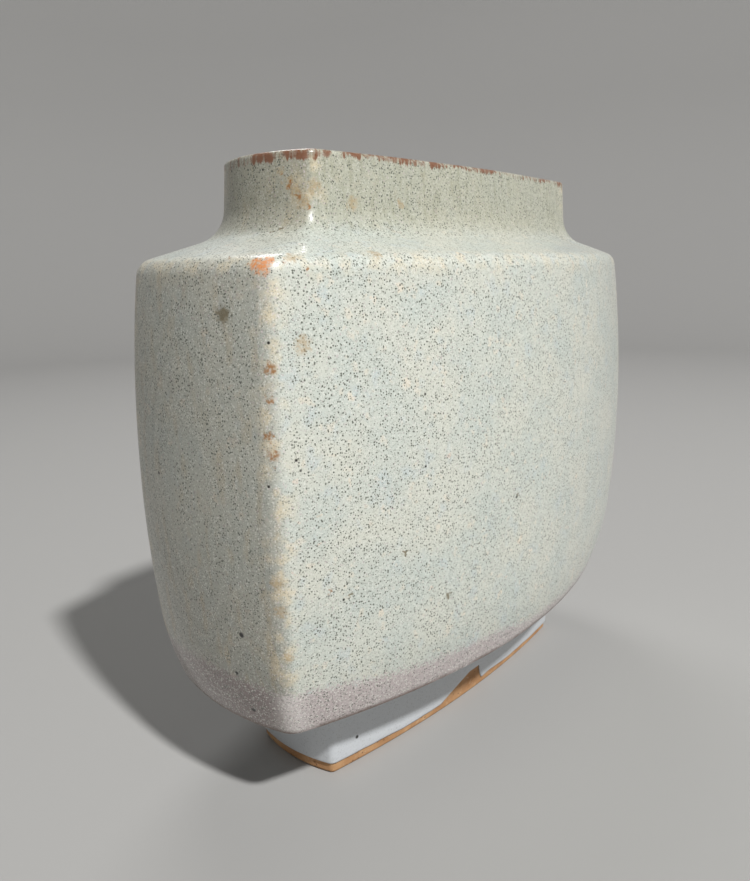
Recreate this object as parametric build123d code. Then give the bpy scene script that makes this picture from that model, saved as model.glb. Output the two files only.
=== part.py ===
# A hand-built pillow vase: bowed slabs luted at the arrises, a sloping shoulder slab, a short oblong neck
# and a mitred foot ring, with a coat of glaze inside and out. Millimetres, +Z up, the long faces towards
# -Y and +Y, the origin at the middle of the surface that the foot stands on.
import os
from math import asin, cos, sin, sqrt

from build123d import *

# Outside sizes, over the glaze and over the bow of each side
height = 200
body_length = 213.5
body_depth = 104.5
foot_height = 32

# Shares of the body's length and depth that its underside, the neck and the foot take up
underside_length_share = 0.935
neck_length_share = 0.72
neck_depth_share = 0.47
foot_length_share = 0.69
foot_depth_share = 0.46

# How far each side bows out in plan, from the line between its corners to its middle
body_face_bow = 18
body_end_bow = 4.5
neck_face_bow = 4.5
neck_end_bow = 5.5
foot_face_bow = 5.5
foot_end_bow = 3

# Roundness of the upright arrises in plan
body_arris_radius = 7
neck_arris_radius = 5
foot_arris_radius = 3
inner_arris_radius = 4

# Upright profile: a slow barrel curve that tucks in at the bottom, a sloping shoulder and a leaning neck
belly_share = 0.52
barrel_radius = 600
tuck_height = 26
shoulder_drop = 30
shoulder_rise = 8
shoulder_edge_radius = 6
shoulder_inner_radius = 2
neck_lean = 1.5
neck_root_radius = 11
lip_radius = 1.4
mouth_flare_radius = 4.5
foot_edge_radius = 1.2

# Clay, glaze and the bare edge of the foot
wall_thickness = 6
floor_thickness = 7
foot_thickness = 7
glaze_thickness = 0.8
bare_height = 3

# The seam between the wall slabs and the shoulder slab lies this far under the shoulder's edge
wall_seam_drop = 8

# How far a cutting shape runs past what it cuts
overrun = 5

# Places of the loft's sections along each stretch of the profile
tuck_shares = (0, 0.35, 0.7)
barrel_shares = (0, 0.2, 0.4, 0.6, 0.8)
rounding_shares = (0, 0.33, 0.67)
straight_shares = (0, 0.5)
lip_shares = (0, 0.33, 0.67, 1)

underside_length = body_length * underside_length_share
neck_length = body_length * neck_length_share
neck_depth = body_depth * neck_depth_share
foot_length = body_length * foot_length_share
foot_depth = body_depth * foot_depth_share
belly_height = height * belly_share
shoulder_height = height - shoulder_drop
reach = (body_length - neck_length) / 2
across_share = (body_depth - neck_depth) / (body_length - neck_length)
cavity_depth = glaze_thickness + wall_thickness
liner_depth = cavity_depth + glaze_thickness
base_bottom = foot_height + glaze_thickness
floor_height = base_bottom + floor_thickness
wall_seam_height = shoulder_height - wall_seam_drop
neck_seam_height = shoulder_height + shoulder_rise


def bowed_plan(length, across, end_bow, face_bow, arris_radius):
    """Oblong face whose four sides bow outwards and whose corners are rounded."""
    corner_x = length / 2 - end_bow
    corner_y = across / 2 - face_bow
    outline = [
        ThreePointArc((-corner_x, -corner_y), (0, -across / 2), (corner_x, -corner_y)),
        ThreePointArc((corner_x, -corner_y), (length / 2, 0), (corner_x, corner_y)),
        ThreePointArc((corner_x, corner_y), (0, across / 2), (-corner_x, corner_y)),
        ThreePointArc((-corner_x, corner_y), (-length / 2, 0), (-corner_x, -corner_y)),
    ]
    plan = make_face(outline)
    return fillet(plan.vertices(), arris_radius)


def body_plan(stand_out, depth, body_share):
    """Plan of the body, shoulder or neck, depth under the glaze.

    Its ends stand out from the rim's by stand_out. body_share is 1 on the body and 0 on the neck.
    """
    length = neck_length + 2 * stand_out
    across = neck_depth + 2 * ((stand_out + depth) * across_share - depth)
    end_bow = neck_end_bow + body_share * (body_end_bow - neck_end_bow)
    face_bow = neck_face_bow + body_share * (body_face_bow - neck_face_bow)
    arris_radius = neck_arris_radius + body_share * (body_arris_radius - neck_arris_radius)
    return bowed_plan(length, across, end_bow, face_bow, max(arris_radius - depth, inner_arris_radius))


def moved_corner(corner, first_normal, second_normal, depth):
    """Corner of two lines after both have moved depth against their normals."""
    return corner - (first_normal + second_normal) * (depth / (1 + first_normal.dot(second_normal)))


def tuck_arc(depth, bottom):
    """Arc that rounds the body in to its lower edge, tangent to the barrel curve at its top."""
    angle = asin((belly_height - foot_height - tuck_height) / barrel_radius)
    outwards = Vector(cos(angle), -sin(angle))
    top = Vector(reach - barrel_radius, belly_height) + outwards * barrel_radius
    low = Vector((underside_length - neck_length) / 2, foot_height)
    chord = low - top
    radius = chord.length**2 / (2 * -chord.dot(outwards))
    centre = top - outwards * radius
    low_angle = asin((centre.Y - bottom) / (radius - depth))
    angles = (low_angle, (low_angle + angle) / 2, angle)
    return ThreePointArc(*[centre + Vector(cos(a), -sin(a)) * (radius - depth) for a in angles])


def upper_profile(start, depth):
    """Barrel curve, shoulder and neck from start to the foot of the lip, with rounded corners."""
    barrel_centre = Vector(reach - barrel_radius, belly_height)
    edge_rise = shoulder_height - belly_height
    edge = Vector(barrel_centre.X + sqrt(barrel_radius**2 - edge_rise**2), shoulder_height)
    root = Vector(neck_lean, neck_seam_height)
    lip = Vector(0, height - lip_radius)
    slope = (root - edge).normalized()
    lean = (lip - root).normalized()
    wall_normal = (edge - barrel_centre).normalized()
    slope_normal = Vector(slope.Y, -slope.X)
    lean_normal = Vector(lean.Y, -lean.X)
    edge = moved_corner(edge, wall_normal, slope_normal, depth)
    root = moved_corner(root, slope_normal, lean_normal, depth)
    belly = Vector(reach - depth, belly_height)
    line = Wire([
        ThreePointArc(start, belly, edge),
        Line(edge, root),
        Line(root, lip - Vector(depth, 0)),
    ])
    edge_radius = max(shoulder_edge_radius - depth, shoulder_inner_radius)
    line = line.fillet_2d(edge_radius, [line.vertices().sort_by_distance(edge)[0]])
    line = line.fillet_2d(neck_root_radius + depth, [line.vertices().sort_by_distance(root)[0]])
    return line.order_edges()


def lip_arc(depth, inside):
    """Quarter arc that rounds the lip inwards on an outer surface, or flares the mouth on an inner one."""
    way = 1 if inside else -1
    radius = mouth_flare_radius - (liner_depth - depth) if inside else lip_radius - depth
    start = Vector(-depth, height - lip_radius)
    centre = start + Vector(way * radius, 0)
    middle = centre + Vector(-way, 1).normalized() * radius
    return ThreePointArc(start, middle, centre + Vector(0, radius))


def form(depth, bottom, inside=False):
    """Solid within the surface that lies depth under the glaze, from bottom to the top of the lip."""
    tuck = tuck_arc(depth, bottom)
    barrel, edge, slope, root, neck = upper_profile(tuck @ 1, depth)
    edge_reach = (edge @ 0).X + depth
    sections = []
    for stretch, shares, on_body in (
        (tuck, tuck_shares, True),
        (barrel, barrel_shares, True),
        (edge, rounding_shares, False),
        (slope, straight_shares, False),
        (root, rounding_shares, False),
        (neck, straight_shares, False),
        (lip_arc(depth, inside), lip_shares, False),
    ):
        for share in shares:
            point = stretch @ share
            body_share = 1 if on_body else max((point.X + depth) / edge_reach, 0)
            sections.append(Pos(0, 0, point.Y) * body_plan(point.X, depth, body_share))
    return loft(sections)


def foot_plan(depth):
    """Plan of the foot, depth under its glaze."""
    radius = max(foot_arris_radius - depth, glaze_thickness)
    return bowed_plan(foot_length - 2 * depth, foot_depth - 2 * depth, foot_end_bow, foot_face_bow, radius)


def upright(plan, bottom, top):
    """Plan drawn straight up from bottom to top."""
    return Pos(0, 0, bottom) * extrude(plan, top - bottom)


def layer(bottom, top):
    """Block wider than the vase, between two heights."""
    return Pos(0, 0, (bottom + top) / 2) * Box(body_length + overrun, body_depth + overrun, top - bottom)


def mitred(ring, corner_x, corner_y, run, name):
    """The four slabs of a ring, parted along the diagonals through its corners.

    run is how far the parting planes reach out and in from the corners, along X.
    """
    bounds = ring.bounding_box()
    outer_x, outer_y = corner_x + run, corner_y + run * across_share
    inner_x, inner_y = corner_x - run, corner_y - run * across_share
    outer = [(-outer_x, -outer_y), (outer_x, -outer_y), (outer_x, outer_y), (-outer_x, outer_y)]
    inner = [(-inner_x, -inner_y), (inner_x, -inner_y), (inner_x, inner_y), (-inner_x, inner_y)]
    slabs = {}
    for index, side in enumerate(("front", "right", "back", "left")):
        after = (index + 1) % len(outer)
        plan = make_face(Polyline(outer[index], outer[after], inner[after], inner[index], close=True))
        slabs[name.format(side)] = ring & upright(plan, bounds.min.Z - overrun, bounds.max.Z + overrun)
    return slabs


def clay_slabs(clay, cavity):
    """Wall slabs, shoulder slab, neck strips and base slab."""
    shell = clay - cavity
    walls = shell & layer(floor_height, wall_seam_height)
    wall_corner = (body_length / 2 - body_end_bow, body_depth / 2 - body_face_bow)
    neck = shell & layer(neck_seam_height, height)
    neck_corner = (neck_length / 2 - neck_end_bow, neck_depth / 2 - neck_face_bow)
    slabs = mitred(walls, *wall_corner, reach, "{}_wall")
    slabs["shoulder"] = shell & layer(wall_seam_height, neck_seam_height)
    slabs |= mitred(neck, *neck_corner, 2 * wall_thickness, "neck_{}")
    slabs["base"] = clay & layer(base_bottom, floor_height)
    return slabs


def foot_strips():
    """Strips of the foot ring, sponged round at the lower edges and mitred at the corners."""
    ring = upright(foot_plan(glaze_thickness), 0, base_bottom)
    ring -= upright(foot_plan(glaze_thickness + foot_thickness), -overrun, base_bottom + overrun)
    ring = fillet(ring.edges().group_by(Axis.Z)[0], foot_edge_radius)
    foot_corner = (foot_length / 2 - foot_end_bow, foot_depth / 2 - foot_face_bow)
    return mitred(ring, *foot_corner, 2 * foot_thickness, "foot_{}")


def glaze_coats(clay, cavity):
    """Outer coat, from the lip to the bare edge of the foot, and the coat that lines the inside."""
    foot_core = upright(foot_plan(glaze_thickness), 0, base_bottom)
    skin = form(0, foot_height)
    coat = skin - clay - cavity - foot_core
    coat += upright(foot_plan(0), bare_height, foot_height) - foot_core
    hollow = form(liner_depth, floor_height + glaze_thickness, inside=True)
    return {"outer_glaze": coat, "liner_glaze": (cavity - hollow) & layer(0, height)}


def build():
    """Every piece of the vase, by name."""
    clay = form(glaze_thickness, base_bottom)
    cavity = form(cavity_depth, floor_height, inside=True)
    return clay_slabs(clay, cavity) | foot_strips() | glaze_coats(clay, cavity)


if __name__ == "__main__":
    os.makedirs("parts", exist_ok=True)
    for node, piece in build().items():
        export_step(piece, f"parts/{node}.step")
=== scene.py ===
import logging
import math
from dataclasses import dataclass
from enum import Enum

import bpy
import numpy as np
from mathutils import Matrix, Vector, noise


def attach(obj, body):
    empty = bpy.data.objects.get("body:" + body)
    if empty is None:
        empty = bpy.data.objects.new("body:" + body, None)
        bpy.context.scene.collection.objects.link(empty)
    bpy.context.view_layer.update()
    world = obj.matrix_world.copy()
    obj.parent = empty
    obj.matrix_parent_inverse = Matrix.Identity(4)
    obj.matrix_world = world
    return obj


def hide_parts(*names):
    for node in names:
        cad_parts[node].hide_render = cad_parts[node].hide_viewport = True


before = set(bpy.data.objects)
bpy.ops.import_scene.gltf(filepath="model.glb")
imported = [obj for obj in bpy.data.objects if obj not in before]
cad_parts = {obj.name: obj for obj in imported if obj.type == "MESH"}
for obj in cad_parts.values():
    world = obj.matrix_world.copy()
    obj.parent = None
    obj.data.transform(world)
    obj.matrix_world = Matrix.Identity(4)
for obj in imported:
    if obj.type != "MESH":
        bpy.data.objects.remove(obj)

log = logging.getLogger("pillow_vase")

BODY = "root"

FACE_STEPS, ARRIS_STEPS, END_STEPS = 72, 12, 22

Colour = tuple[float, float, float]
Triple = tuple[float, float, float]
Socket = bpy.types.NodeSocket


class Stretch(Enum):
    """Stretches of the vase's upright profile, from the foot to the mouth."""

    FOOT = "foot"
    UNDERSIDE = "underside"
    LOW_EDGE = "low edge"
    TUCK = "tuck"
    BARREL = "barrel"
    EDGE = "shoulder edge"
    SLOPE = "shoulder slope"
    ROOT = "neck root"
    NECK = "neck"
    LIP = "lip"
    RIM = "rim"
    BACK = "side on the clay"


UPWARDS = (
    Stretch.TUCK, Stretch.BARREL, Stretch.EDGE, Stretch.SLOPE, Stretch.ROOT, Stretch.NECK, Stretch.LIP,
)


class Side(Enum):
    """Side of the vase that a mark in the glaze lies on."""

    FRONT = "front"
    LEFT = "left"


class MarkKind(Enum):
    """Kinds of single marks in the glaze."""

    IRON = "near-black iron spot"
    OLIVE = "olive-brown spot"
    RUST = "rusty blotch"
    ORANGE = "orange patch where the glaze broke thin"
    OCHRE = "ochre stain"
    PIT = "pinhole pit"
    CREASE = "dark line where the neck was luted on"


@dataclass(frozen=True)
class VaseSizes:
    """Driving sizes of the vase over its glaze, in metres, as the solids have them."""

    height: float = 0.2
    body_length: float = 0.2135
    body_depth: float = 0.1045
    foot_height: float = 0.032
    underside_length_share: float = 0.935
    neck_length_share: float = 0.72
    neck_depth_share: float = 0.47
    foot_length_share: float = 0.69
    foot_depth_share: float = 0.46
    body_face_bow: float = 0.018
    body_end_bow: float = 0.0045
    neck_face_bow: float = 0.0045
    neck_end_bow: float = 0.0055
    foot_face_bow: float = 0.0055
    foot_end_bow: float = 0.003
    body_arris_radius: float = 0.007
    neck_arris_radius: float = 0.005
    foot_arris_radius: float = 0.003
    inner_arris_radius: float = 0.004
    belly_share: float = 0.52
    barrel_radius: float = 0.6
    tuck_height: float = 0.026
    shoulder_drop: float = 0.03
    shoulder_rise: float = 0.008
    shoulder_edge_radius: float = 0.006
    shoulder_inner_radius: float = 0.002
    neck_lean: float = 0.0015
    neck_root_radius: float = 0.011
    lip_radius: float = 0.0014
    mouth_flare_radius: float = 0.0045
    wall_thickness: float = 0.006
    floor_thickness: float = 0.007
    glaze_thickness: float = 0.0008

    @property
    def neck_length(self) -> float:
        """Length of the neck over the bow of its ends."""
        return self.body_length * self.neck_length_share

    @property
    def neck_depth(self) -> float:
        """Depth of the neck over the bow of its faces."""
        return self.body_depth * self.neck_depth_share

    @property
    def reach(self) -> float:
        """How far the body stands out from the neck at each end."""
        return (self.body_length - self.neck_length) / 2

    @property
    def across_share(self) -> float:
        """How far a plan stands out across the vase for each metre along it."""
        return (self.body_depth - self.neck_depth) / (self.body_length - self.neck_length)

    @property
    def belly_height(self) -> float:
        """Height at which the body is widest."""
        return self.height * self.belly_share

    @property
    def cavity_depth(self) -> float:
        """Depth of the clay's inner surface under the outer glaze."""
        return self.glaze_thickness + self.wall_thickness

    @property
    def liner_depth(self) -> float:
        """Depth of the lining's inner surface under the outer glaze."""
        return self.cavity_depth + self.glaze_thickness

    @property
    def floor_height(self) -> float:
        """Height of the clay floor inside the vase."""
        return self.foot_height + self.glaze_thickness + self.floor_thickness


def arc(centre: np.ndarray, radius: float, start: float, end: float, count: int) -> np.ndarray:
    """Points along an arc.

    Args:
        centre: Middle of the arc's circle.
        radius: Radius of the circle.
        start: Angle of the first point, in radians.
        end: Angle of the last point, in radians.
        count: Number of steps.

    Returns:
        The points, one more than the steps, a row each.
    """
    angles = np.linspace(start, end, count + 1)
    return centre + radius * np.column_stack([np.cos(angles), np.sin(angles)])


def line(start: np.ndarray, end: np.ndarray, count: int) -> np.ndarray:
    """Points along a straight line.

    Args:
        start: First point.
        end: Last point.
        count: Number of steps.

    Returns:
        The points, one more than the steps, a row each.
    """
    return start + np.linspace(0, 1, count + 1)[:, None] * (end - start)


def angle_of(vector: np.ndarray) -> float:
    """Angle of a flat vector, in radians."""
    return math.atan2(vector[1], vector[0])


def unit(vector: np.ndarray) -> np.ndarray:
    """The vector at length one."""
    return vector / np.linalg.norm(vector)


def smooth_step(low: float, high: float, values: np.ndarray) -> np.ndarray:
    """Rise from nought at low to one at high, soft at both ends."""
    share = np.clip((values - low) / (high - low), 0, 1)
    return share * share * (3 - 2 * share)


@dataclass(frozen=True)
class BowedPlan:
    """Oblong plan whose four sides bow outwards and whose corners are rounded."""

    length: float
    across: float
    end_bow: float
    face_bow: float
    arris_radius: float

    def quarter(self) -> np.ndarray:
        """Points from the middle of the front to the middle of the right end.

        Returns:
            The points, a row each.
        """
        corner = np.array([self.length / 2 - self.end_bow, self.face_bow - self.across / 2])
        face_radius = (corner[0] ** 2 + self.face_bow**2) / (2 * self.face_bow)
        end_radius = (corner[1] ** 2 + self.end_bow**2) / (2 * self.end_bow)
        face_centre = np.array([0.0, face_radius - self.across / 2])
        end_centre = np.array([self.length / 2 - end_radius, 0.0])
        between = end_centre - face_centre
        gap = np.linalg.norm(between)
        face_reach, end_reach = face_radius - self.arris_radius, end_radius - self.arris_radius
        along = (face_reach**2 - end_reach**2 + gap**2) / (2 * gap)
        aside = math.sqrt(face_reach**2 - along**2)
        way = between / gap
        middle = face_centre + along * way
        square = np.array([-way[1], way[0]]) * aside
        arris_centre = min((middle + square, middle - square), key=lambda p: np.linalg.norm(p - corner))
        face_end = angle_of(arris_centre - face_centre)
        end_start = angle_of(arris_centre - end_centre)
        face = arc(face_centre, face_radius, -math.pi / 2, face_end, FACE_STEPS)
        arris = arc(arris_centre, self.arris_radius, face_end, end_start, ARRIS_STEPS)
        end = arc(end_centre, end_radius, end_start, 0.0, END_STEPS)
        return np.vstack([face[:-1], arris[:-1], end])

    def ring(self) -> np.ndarray:
        """Points once round the plan, from the middle of the front by the right end.

        Returns:
            The points, a row each, the first not repeated.
        """
        quarter = self.quarter()
        onward, backward = quarter[:-1], quarter[:0:-1]
        parts = [onward, backward * (1, -1), onward * (-1, -1), backward * (-1, 1)]
        return np.vstack(parts)


@dataclass(frozen=True)
class Row:
    """One ring of the profile: how far it stands out from the rim, how high it lies, how much it is body."""

    stretch: Stretch
    stand_out: float
    height: float
    body_share: float


@dataclass(frozen=True)
class Profile:
    """Upright profile of the vase, a given depth under the surface of its glaze."""

    sizes: VaseSizes
    depth: float
    steps: dict[Stretch, int]

    def rows(self, bottom: float, inside: bool = False) -> list[Row]:
        """Rings from the bottom up to the lip, or to the mouth's flare on the inside.

        Args:
            bottom: Height of the lowest ring.
            inside: True for the inner surface, whose mouth flares.

        Returns:
            The rings in order.
        """
        shape = {Stretch.TUCK: self.tuck(bottom), **self.upper(), Stretch.LIP: self.lip(inside)}
        edge_reach = shape[Stretch.EDGE][0][0] + self.depth
        rows = []
        for stretch, points in shape.items():
            on_body = stretch in (Stretch.TUCK, Stretch.BARREL)
            for stand_out, height in points if stretch is Stretch.LIP else points[:-1]:
                share = 1.0 if on_body else max((stand_out + self.depth) / edge_reach, 0.0)
                rows.append(Row(stretch, stand_out, height, share))
        return rows

    def barrel_lean(self) -> float:
        """Angle under the belly at which the barrel curve turns into the tuck."""
        drop = self.sizes.belly_height - self.sizes.foot_height - self.sizes.tuck_height
        return math.asin(drop / self.sizes.barrel_radius)

    def barrel_centre(self) -> np.ndarray:
        """Middle of the barrel curve's circle."""
        return np.array([self.sizes.reach - self.sizes.barrel_radius, self.sizes.belly_height])

    def tuck(self, bottom: float) -> np.ndarray:
        """Arc that rounds the body in to its lower edge, tangent to the barrel curve at its top.

        Args:
            bottom: Height of the lowest point.

        Returns:
            The points from the bottom up.
        """
        sizes, lean = self.sizes, self.barrel_lean()
        outwards = np.array([math.cos(lean), -math.sin(lean)])
        top = self.barrel_centre() + outwards * sizes.barrel_radius
        low = np.array([sizes.body_length * sizes.underside_length_share - sizes.neck_length, 0.0]) / 2
        low[1] = sizes.foot_height
        chord = low - top
        radius = chord @ chord / (-2 * chord @ outwards)
        centre = top - outwards * radius
        low_angle = math.asin((centre[1] - bottom) / (radius - self.depth))
        return arc(centre, radius - self.depth, -low_angle, -lean, self.steps[Stretch.TUCK])

    def upper(self) -> dict[Stretch, np.ndarray]:
        """Barrel curve, shoulder and neck up to the foot of the lip.

        Returns:
            The points of each stretch, from the bottom up.
        """
        sizes, depth, centre = self.sizes, self.depth, self.barrel_centre()
        rise = sizes.height - sizes.shoulder_drop - sizes.belly_height
        edge = centre + (math.sqrt(sizes.barrel_radius**2 - rise**2), rise)
        root = np.array([sizes.neck_lean, sizes.height - sizes.shoulder_drop + sizes.shoulder_rise])
        lip = np.array([0.0, sizes.height - sizes.lip_radius])
        slope, lean = unit(root - edge), unit(lip - root)
        slope_normal, lean_normal = np.array([slope[1], -slope[0]]), np.array([lean[1], -lean[0]])
        both_normals = (slope_normal + lean_normal) / (1 + slope_normal @ lean_normal)
        root = root - both_normals * depth
        barrel_radius = sizes.barrel_radius - depth
        edge_radius = max(sizes.shoulder_edge_radius - depth, sizes.shoulder_inner_radius)
        start = edge - slope_normal * (depth + edge_radius) - centre
        back = start @ slope
        run = -back - math.sqrt(back**2 - start @ start + (barrel_radius - edge_radius) ** 2)
        edge_centre = centre + start + slope * run
        root_radius = sizes.neck_root_radius + depth
        root_centre = root + both_normals * root_radius
        turn = angle_of(edge_centre - centre)
        barrel_steps, edge_steps = self.steps[Stretch.BARREL], self.steps[Stretch.EDGE]
        rounding = arc(edge_centre, edge_radius, turn, angle_of(slope_normal), edge_steps)
        hollow_angles = angle_of(-slope_normal), angle_of(-lean_normal)
        hollow = arc(root_centre, root_radius, *hollow_angles, self.steps[Stretch.ROOT])
        return {
            Stretch.BARREL: arc(centre, barrel_radius, -self.barrel_lean(), turn, barrel_steps),
            Stretch.EDGE: rounding,
            Stretch.SLOPE: line(rounding[-1], hollow[0], self.steps[Stretch.SLOPE]),
            Stretch.ROOT: hollow,
            Stretch.NECK: line(hollow[-1], lip - (depth, 0), self.steps[Stretch.NECK]),
        }

    def lip(self, inside: bool) -> np.ndarray:
        """Arc that rounds the lip inwards, or flares the mouth on the inside up to the rim.

        Args:
            inside: True for the flare of the mouth.

        Returns:
            The points from the bottom up.
        """
        sizes, steps = self.sizes, self.steps[Stretch.LIP]
        start = np.array([-self.depth, sizes.height - sizes.lip_radius])
        if not inside:
            radius = sizes.lip_radius - self.depth
            return arc(start - (radius, 0), radius, 0, math.pi / 2, steps)
        radius = sizes.mouth_flare_radius - (sizes.liner_depth - self.depth)
        rim_angle = math.asin(sizes.lip_radius / radius)
        return arc(start + (radius, 0), radius, math.pi, math.pi - rim_angle, steps)


@dataclass(frozen=True)
class VaseForm:
    """Rings of the vase in plan, at any place on its profile."""

    sizes: VaseSizes

    def body_ring(self, row: Row, depth: float) -> np.ndarray:
        """Ring of the body, shoulder or neck.

        Args:
            row: Place on the profile.
            depth: Depth under the surface of the outer glaze.

        Returns:
            The ring's points in space, a row each.
        """
        sizes, share = self.sizes, row.body_share
        standing = (row.stand_out + depth) * sizes.across_share - depth
        radius = sizes.neck_arris_radius + share * (sizes.body_arris_radius - sizes.neck_arris_radius)
        plan = BowedPlan(
            length=sizes.neck_length + 2 * row.stand_out,
            across=sizes.neck_depth + 2 * standing,
            end_bow=sizes.neck_end_bow + share * (sizes.body_end_bow - sizes.neck_end_bow),
            face_bow=sizes.neck_face_bow + share * (sizes.body_face_bow - sizes.neck_face_bow),
            arris_radius=max(radius - depth, sizes.inner_arris_radius),
        )
        return at_height(plan.ring(), row.height)

    def foot_ring(self, depth: float, height: float) -> np.ndarray:
        """Ring of the foot.

        Args:
            depth: Depth under the surface of the foot's glaze.
            height: Height of the ring.

        Returns:
            The ring's points in space, a row each.
        """
        sizes = self.sizes
        plan = BowedPlan(
            length=sizes.body_length * sizes.foot_length_share - 2 * depth,
            across=sizes.body_depth * sizes.foot_depth_share - 2 * depth,
            end_bow=sizes.foot_end_bow,
            face_bow=sizes.foot_face_bow,
            arris_radius=sizes.foot_arris_radius - depth,
        )
        return at_height(plan.ring(), height)


def at_height(plan: np.ndarray, height: float) -> np.ndarray:
    """Points of a flat ring, set at a height."""
    return np.column_stack([plan, np.full(len(plan), height)])


def on_stretches(stretches: list[Stretch], *kinds: Stretch) -> np.ndarray:
    """True for each ring that is on one of the kinds of stretch, as a column."""
    return np.array([stretch in kinds for stretch in stretches])[:, None]


def grid_normals(grid: np.ndarray) -> np.ndarray:
    """Outward normals of a grid of rings.

    Args:
        grid: Points by ring and by place round the ring.

    Returns:
        A unit normal for each point.
    """
    around = np.roll(grid, -1, axis=1) - np.roll(grid, 1, axis=1)
    upward = np.gradient(grid, axis=0)
    normals = np.cross(around, upward)
    return normals / np.maximum(np.linalg.norm(normals, axis=2, keepdims=True), 1e-12)


def wander(points: np.ndarray, period: float) -> np.ndarray:
    """Smooth random values, from minus one to one, that change over about the given length.

    Args:
        points: Points in space, on the last axis.
        period: Length of the waves, in metres.

    Returns:
        A value for each point.
    """
    flat = points.reshape(-1, 3) / period
    values = np.array([noise.noise(Vector(point)) for point in flat])
    return values.reshape(points.shape[:-1])


def ring_faces(rings: int, around: int, closed: bool) -> list[tuple[int, int, int, int]]:
    """Four-sided faces between neighbouring rings.

    Args:
        rings: Number of rings.
        around: Number of points in a ring.
        closed: True if the last ring joins the first.

    Returns:
        The faces by their points' numbers.
    """
    faces = []
    for ring in range(rings if closed else rings - 1):
        low, high = ring * around, (ring + 1) % rings * around
        for place in range(around):
            after = (place + 1) % around
            faces.append((low + place, low + after, high + after, high + place))
    return faces


def mesh_object(name: str, points: np.ndarray, faces: list) -> bpy.types.Object:
    """Smooth mesh in the scene.

    Args:
        name: The piece's name.
        points: Points in space, a row each.
        faces: Faces by their points' numbers.

    Returns:
        The new object.
    """
    mesh = bpy.data.meshes.new(name)
    mesh.from_pydata(points.tolist(), [], faces)
    mesh.validate()
    mesh.shade_smooth()
    piece = bpy.data.objects.new(name, mesh)
    bpy.context.scene.collection.objects.link(piece)
    return piece


def add_mask(piece: bpy.types.Object, name: str, values: np.ndarray) -> None:
    """Keeps one value for each point of a piece, for its finish to read.

    Args:
        piece: The piece.
        name: The mask's name.
        values: A value for each point.
    """
    layer = piece.data.attributes.new(name, "FLOAT", "POINT")
    layer.data.foreach_set("value", np.ascontiguousarray(values, dtype=np.float32))


@dataclass(frozen=True)
class Clouds:
    """Cloudy pattern: clouds for each metre, steps of finer ones, where it rises from and to, its top."""

    scale: float
    detail: float
    low: float
    high: float
    top: float = 1.0


@dataclass(frozen=True)
class Grains:
    """Scattered dots: number for each metre, radii and soft edge as shares of the spacing, and cover."""

    scale: float
    least: float
    most: float
    soft: float
    cover: float = 1.0


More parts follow.
